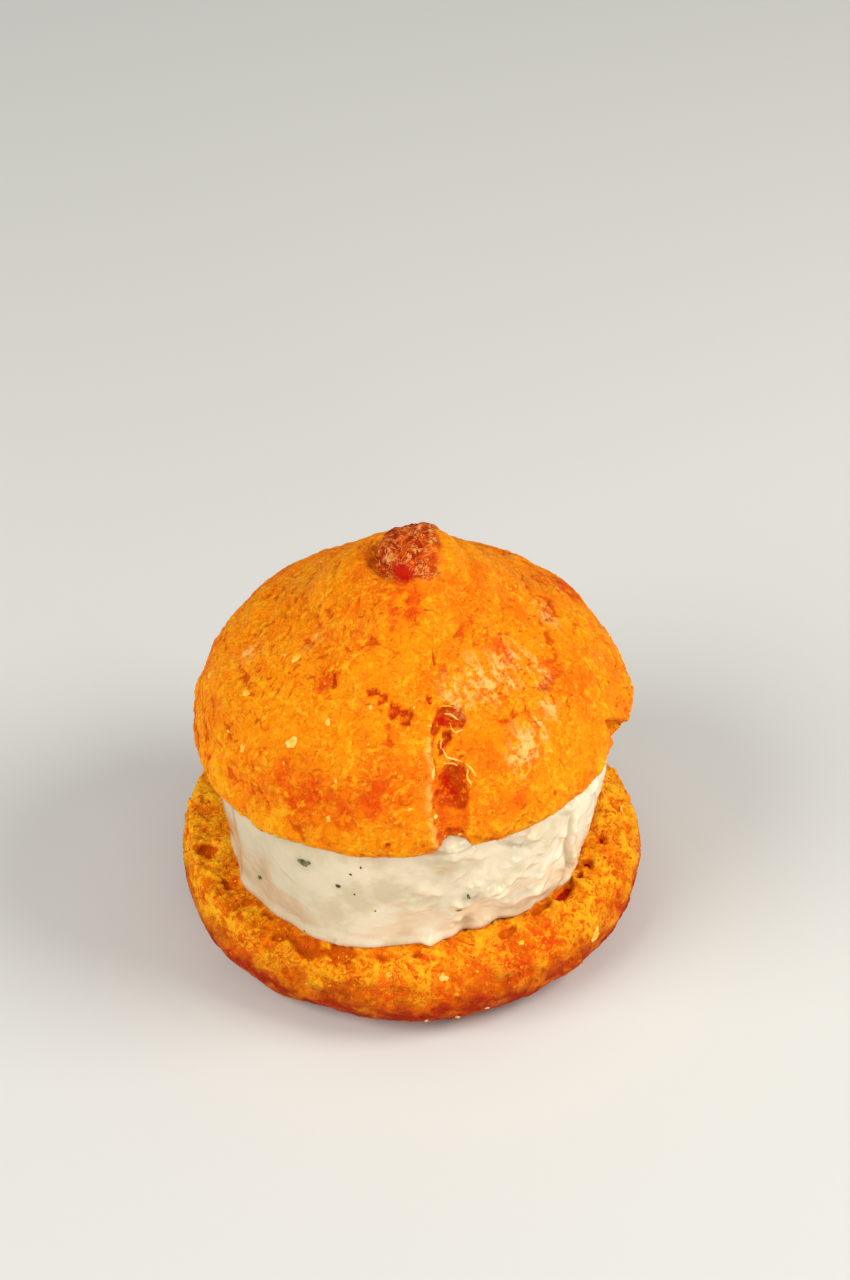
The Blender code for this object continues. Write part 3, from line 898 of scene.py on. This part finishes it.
# The strands, each a path of (x, height) on the front of the lid
STRANDS = [
    [(0.0031, 0.0352), (0.0037, 0.0347), (0.0045, 0.0343), (0.0052, 0.0342)],
    [(0.0054, 0.0342), (0.0061, 0.0338), (0.0067, 0.0331)],
    [(0.0033, 0.0344), (0.0040, 0.0340), (0.0048, 0.0338)],
    [(0.0057, 0.0336), (0.0060, 0.0328), (0.0062, 0.0321)],
    [(0.0029, 0.0363), (0.0032, 0.0357), (0.0031, 0.0351)],
    [(0.0029, 0.0380), (0.0036, 0.0377), (0.0044, 0.0378)],
    [(0.0034, 0.0369), (0.0042, 0.0371), (0.0050, 0.0367)],
    [(0.0038, 0.0363), (0.0046, 0.0361), (0.0053, 0.0364)],
    [(0.0023, 0.0351), (0.0022, 0.0341), (0.0023, 0.0333)],
]
STRAND_HALF_WIDTH = 0.00015
STRAND_HALF_THICKNESS = 0.00005
STRAND_LIFT = 0.00003
STRAND_WIGGLE = 0.00022


def strand_place(path, t):
    """The point on the front of the lid at a share t of the way along a path."""
    leg = min(int(t * (len(path) - 1)), len(path) - 2)
    part = t * (len(path) - 1) - leg
    x = between(path[leg][0], path[leg + 1][0], part)
    z = between(path[leg][1], path[leg + 1][1], part)
    wiggle = STRAND_WIGGLE * noise.noise_vector(Vector((x, 0, z)) / 0.0007)
    start = Vector((x + wiggle.x, -0.04, z + wiggle.z))
    return lid.ray_cast(start, Vector((0, 1, 0)))[1] - Vector((0, STRAND_LIFT, 0))


strand_shape = bmesh.new()
for path in STRANDS:
    tube = bmesh.ops.create_grid(strand_shape, x_segments=20, y_segments=6, size=1)["verts"]
    for vert in tube:
        t = (vert.co.x + 1) / 2
        turn = math.pi * vert.co.y
        width = math.sqrt(max(0, math.sin(math.pi * t)))
        middle = strand_place(path, t)
        along = strand_place(path, min(1, t + 0.02)) - strand_place(path, max(0, t - 0.02))
        side = Vector((-along.z, 0, along.x)).normalized() * STRAND_HALF_WIDTH * width * math.cos(turn)
        vert.co = middle + side + Vector((0, -STRAND_HALF_THICKNESS * width * math.sin(turn), 0))
bmesh.ops.remove_doubles(strand_shape, verts=strand_shape.verts, dist=1e-6)

strand_finish, strand_tree, strand_surface = new_finish("torn strands")
strand_clouds = ease(strand_tree, mottle(strand_tree, 0.0010), 0.4, 0.6)
strand_colour = tinted(strand_tree, CRUST_STRAW, PALE_FLAKE, strand_clouds)
strand_tree.links.new(strand_colour, strand_surface.inputs["Base Color"])
strand_surface.inputs["Roughness"].default_value = 0.8
strand_surface.inputs["Specular IOR Level"].default_value = 0.1
strands = finished(strand_shape, "torn_strands", strand_finish)
strands.data.shade_smooth()


# The herb flecks
# Chopped soft herb stirred into the cream, so its thin wet bits cling flat to the surface at any turn.

# The flecks that show at the front: (angle, height, half length, how wide for its length, turn)
HERBS = [
    (-121.6, 0.0204, 0.00075, 0.55, -0.2),
    (-119.8, 0.0206, 0.00035, 0.7, 0.6),
    (-141.3, 0.0131, 0.00042, 0.6, 0.9),
    (-73.1, 0.0169, 0.00070, 0.25, -1.1),
    (-75.5, 0.0146, 0.00030, 0.8, 0),
]
HERB_THICKNESS = 0.00010
HERB_LIFT = 0.00005


def set_on(shape, start, carrier, angle, height, turn, sunk):
    """Stands the points of a shape from start on at a carrier's surface, at an angle and a height, turned
    about the surface's normal and sunk into it."""
    outside = Vector((math.cos(math.radians(angle)), math.sin(math.radians(angle)), 0)) * 0.03
    outside.z = height
    inward = Vector((-outside.x, -outside.y, 0))
    hit, place, normal, _ = carrier.ray_cast(outside, inward)
    if not hit:
        _, place, normal, _ = carrier.closest_point_on_mesh(outside)
    stand = Matrix.Translation(place - normal * sunk) @ normal.to_track_quat("Z", "Y").to_matrix().to_4x4()
    shape.verts.ensure_lookup_table()
    bmesh.ops.transform(shape, matrix=stand @ Matrix.Rotation(turn, 4, "Z"), verts=shape.verts[start:])


draw = random.Random(7)
back_herbs = [
    (
        draw.uniform(-20, 200),
        draw.uniform(0.012, 0.023),
        draw.uniform(0.0003, 0.0007),
        draw.uniform(0.3, 0.8),
        draw.uniform(0, math.pi),
    )
    for _ in range(7)
]
herb_shape = bmesh.new()
for angle, height, size, narrow, turn in HERBS + back_herbs:
    first = len(herb_shape.verts)
    round_leaf = bmesh.ops.create_circle(herb_shape, cap_ends=True, cap_tris=True, segments=11, radius=size)
    leaf = round_leaf["verts"]
    for vert in leaf:
        vert.co *= draw.uniform(0.6, 1.15)
        vert.co.y *= narrow
    set_on(herb_shape, first, cream, angle, height, turn, 0)
    for vert in leaf:
        _, place, normal, _ = cream.closest_point_on_mesh(vert.co)
        vert.co = place + normal * HERB_LIFT
    faces = list({face for vert in leaf for face in vert.link_faces})
    bmesh.ops.solidify(herb_shape, geom=faces, thickness=HERB_THICKNESS)

herb_finish, herb_tree, herb_surface = new_finish("chopped herb")
herb_clouds = ease(herb_tree, mottle(herb_tree, 0.0004), 0.4, 0.6)
herb_colour = tinted(herb_tree, srgb(122, 114, 76), srgb(76, 70, 42), herb_clouds)
herb_tree.links.new(herb_colour, herb_surface.inputs["Base Color"])
herb_surface.inputs["Roughness"].default_value = 0.5
herb_surface.inputs["Specular IOR Level"].default_value = 0.2
finished(herb_shape, "herb_flecks", herb_finish)


# The pepper specks
# Coarsely ground black pepper, single angular grains pressed into the cream.

# The grains that show at the front: (angle, height, half length)
PEPPER = [
    (-110.7, 0.0187, 0.00032),
    (-106.9, 0.0208, 0.00020),
    (-104.0, 0.0220, 0.00020),
    (-106.1, 0.0178, 0.00016),
    (-100.3, 0.0155, 0.00014),
    (-121.8, 0.0103, 0.00018),
]
back_pepper = [
    (draw.uniform(-20, 200), draw.uniform(0.011, 0.024), draw.uniform(0.00012, 0.00028)) for _ in range(14)
]
pepper_shape = bmesh.new()
for angle, height, size in PEPPER + back_pepper:
    first = len(pepper_shape.verts)
    grain = bmesh.ops.create_icosphere(pepper_shape, subdivisions=1, radius=size)["verts"]
    for vert in grain:
        vert.co *= draw.uniform(0.75, 1.15)
        vert.co.z *= 0.6
    set_on(pepper_shape, first, cream, angle, height, draw.uniform(0, math.pi), 0.2 * size)

pepper_finish, pepper_tree, pepper_surface = new_finish("ground pepper")
pepper_clouds = ease(pepper_tree, mottle(pepper_tree, 0.0002), 0.4, 0.6)
pepper_colour = tinted(pepper_tree, srgb(66, 44, 24), srgb(110, 80, 42), pepper_clouds)
pepper_tree.links.new(pepper_colour, pepper_surface.inputs["Base Color"])
pepper_surface.inputs["Roughness"].default_value = 0.7
pepper_surface.inputs["Specular IOR Level"].default_value = 0.1
finished(pepper_shape, "pepper_specks", pepper_finish)


# The loose flakes
# Thin chips of crust that came off when the bun was sawn, and cling to the lid and the base.

# The chips that show, each (angle, height, half length)
LID_FLAKES = [
    (-128.9, 0.0343, 0.00075),
    (-120.5, 0.0365, 0.00042),
    (-154.3, 0.0349, 0.00050),
    (-150.0, 0.0385, 0.00055),
    (-144.2, 0.0312, 0.00045),
    (-178.0, 0.0310, 0.00050),
    (-112.0, 0.0288, 0.00035),
]
BASE_FLAKES = [
    (-36.4, 0.0062, 0.00065),
    (-82.0, 0.0083, 0.00050),
    (-5.0, 0.0060, 0.00045),
    (6.0, 0.0088, 0.00045),
    (-96.0, 0.0085, 0.00045),
    (-58.0, 0.0090, 0.00035),
    (-86.0, 0.0022, 0.00030),
    (-78.0, 0.0024, 0.00035),
    (-70.0, 0.0028, 0.00030),
]
lid_bits = [
    (draw.uniform(-180, 180), draw.uniform(0.027, 0.042), draw.uniform(0.0001, 0.00026)) for _ in range(36)
]


def add_flakes(shape, places, carrier):
    """Lays uneven flat chips on a carrier at places (angle, height, half length)."""
    for angle, height, size in places:
        first = len(shape.verts)
        chip = bmesh.ops.create_icosphere(shape, subdivisions=2, radius=size)["verts"]
        shift = Vector((draw.uniform(0, 9), draw.uniform(0, 9), draw.uniform(0, 9)))
        for vert in chip:
            vert.co *= 1 + 0.9 * noise.noise(vert.co / size * 1.3 + shift)
            vert.co.z *= 0.3
            vert.co.y *= 0.7
        set_on(shape, first, carrier, angle, height, draw.uniform(0, math.pi), 0)


flake_shape = bmesh.new()
add_flakes(flake_shape, LID_FLAKES + lid_bits, lid)
add_flakes(flake_shape, BASE_FLAKES, base)

flake_finish, flake_tree, flake_surface = new_finish("loose flakes")
flake_clouds = ease(flake_tree, mottle(flake_tree, 0.0012), 0.4, 0.6)
flake_colour = tinted(flake_tree, CRUST_STRAW, PALE_FLAKE, flake_clouds)
flake_tree.links.new(flake_colour, flake_surface.inputs["Base Color"])
flake_surface.inputs["Roughness"].default_value = 0.6
finished(flake_shape, "crust_flakes", flake_finish)


# The crumb grains
# Torn curls and grains of the golden crumb that stand up all over the cut face, and cling below it.

GRAINS_ON_CUT = 950
GRAINS_BELOW_CUT = 160
GRAIN_SIZES = 0.00012, 0.00036


def grain_places(count, nearest, farthest):
    """Random places on the base, as (angle, distance from the axis, size)."""
    return [
        (draw.uniform(-180, 180), draw.uniform(nearest, farthest), draw.uniform(*GRAIN_SIZES))
        for _ in range(count)
    ]


grain_shape = bmesh.new()
on_cut = grain_places(GRAINS_ON_CUT, 0.0212, 0.0243)
below_cut = grain_places(GRAINS_BELOW_CUT, 0.0243, 0.0253)
for angle, from_axis, size in on_cut + below_cut:
    turn = math.radians(angle)
    above = Vector((from_axis * math.cos(turn), from_axis * math.sin(turn), 0.02))
    hit, place, normal, _ = base.ray_cast(above, Vector((0, 0, -1)))
    if not hit:
        continue
    grain = bmesh.ops.create_icosphere(grain_shape, subdivisions=1, radius=size)["verts"]
    for vert in grain:
        vert.co *= draw.uniform(0.4, 1.3)
        vert.co.y *= 0.5
        vert.co.z *= 0.45
    stand = Matrix.Translation(place) @ normal.to_track_quat("Z", "Y").to_matrix().to_4x4()
    lean = Matrix.Rotation(draw.uniform(0, 6), 4, "Z") @ Matrix.Rotation(draw.uniform(-0.6, 0.6), 4, "Y")
    bmesh.ops.transform(grain_shape, matrix=stand @ lean, verts=grain)

grain_finish, grain_tree, grain_surface = new_finish("crumb grains")
grain_clouds = ease(grain_tree, mottle(grain_tree, 0.0008, 3), 0.44, 0.66)
grain_colour = tinted(grain_tree, CRUMB_ORANGE, CRUST_STRAW, grain_clouds)
grain_tree.links.new(grain_colour, grain_surface.inputs["Base Color"])
grain_surface.inputs["Roughness"].default_value = 0.75
grain_surface.inputs["Specular IOR Level"].default_value = 0.1
finished(grain_shape, "crumb_grains", grain_finish)


# The table and the studio
# A plain pale table top, a soft lamp on the right, a larger one on the left, and two small low ones that
# the moist cream mirrors. The camera looks down at the puff from the front.

TABLE_SIZE = 3
CAMERA_PITCH = math.radians(39.7)
CAMERA_DISTANCE = 0.36
FOCAL_PIXELS = 3190
PHOTO_WIDTH = 850
PHOTO_HEIGHT = 1280
FOOT_PIXEL = (412, 881)
AIM = Vector((0, 0, 0.022))


def add_lamp(name, place, size, power, colour):
    light = bpy.data.lights.new(name, "AREA")
    light.shape = "DISK"
    light.size = size
    light.energy = power
    light.color = colour
    lamp = bpy.data.objects.new(name, light)
    lamp.location = place
    lamp.rotation_euler = (AIM - lamp.location).to_track_quat("-Z", "Y").to_euler()
    bpy.context.scene.collection.objects.link(lamp)


table_shape = bmesh.new()
bmesh.ops.create_grid(table_shape, x_segments=1, y_segments=1, size=TABLE_SIZE / 2)
table_mesh = bpy.data.meshes.new("table")
table_shape.to_mesh(table_mesh)
table_shape.free()
table_finish, _, table_surface = new_finish("pale table")
table_surface.inputs["Base Color"].default_value = (0.66, 0.67, 0.65, 1)
table_surface.inputs["Roughness"].default_value = 0.6
table_mesh.materials.append(table_finish)
table = bpy.data.objects.new("table", table_mesh)
bpy.context.scene.collection.objects.link(table)

add_lamp("key", (0.33, -0.04, 0.32), 0.24, 1.40, (1, 0.96, 0.90))
add_lamp("fill", (-0.37, -0.22, 0.36), 0.40, 2.30, (1, 0.97, 0.93))
add_lamp("low right", (0.42, -0.20, 0.09), 0.14, 0.50, (1, 0.97, 0.93))
add_lamp("low front", (0.16, -0.44, 0.08), 0.12, 0.30, (1, 0.97, 0.93))

world = bpy.data.worlds.new("studio")
world.use_nodes = True
world.node_tree.nodes["Background"].inputs["Color"].default_value = (1, 0.98, 0.95, 1)
world.node_tree.nodes["Background"].inputs["Strength"].default_value = 0.32
bpy.context.scene.world = world
bpy.context.scene.view_settings.view_transform = "Standard"

ahead = Vector((0, math.cos(CAMERA_PITCH), -math.sin(CAMERA_PITCH)))
up = Vector((0, math.sin(CAMERA_PITCH), math.cos(CAMERA_PITCH)))
right_of_middle = (FOOT_PIXEL[0] - PHOTO_WIDTH / 2) / FOCAL_PIXELS * CAMERA_DISTANCE
above_middle = (PHOTO_HEIGHT / 2 - FOOT_PIXEL[1]) / FOCAL_PIXELS * CAMERA_DISTANCE
lens = bpy.data.cameras.new("camera")
lens.sensor_width = 36
lens.lens = FOCAL_PIXELS / PHOTO_HEIGHT * lens.sensor_width
lens.clip_start = 0.01
camera = bpy.data.objects.new("camera", lens)
camera.location = -(CAMERA_DISTANCE * ahead + above_middle * up + right_of_middle * Vector((1, 0, 0)))
camera.rotation_euler = (math.pi / 2 - CAMERA_PITCH, 0, 0)
bpy.context.scene.collection.objects.link(camera)
bpy.context.scene.camera = camera
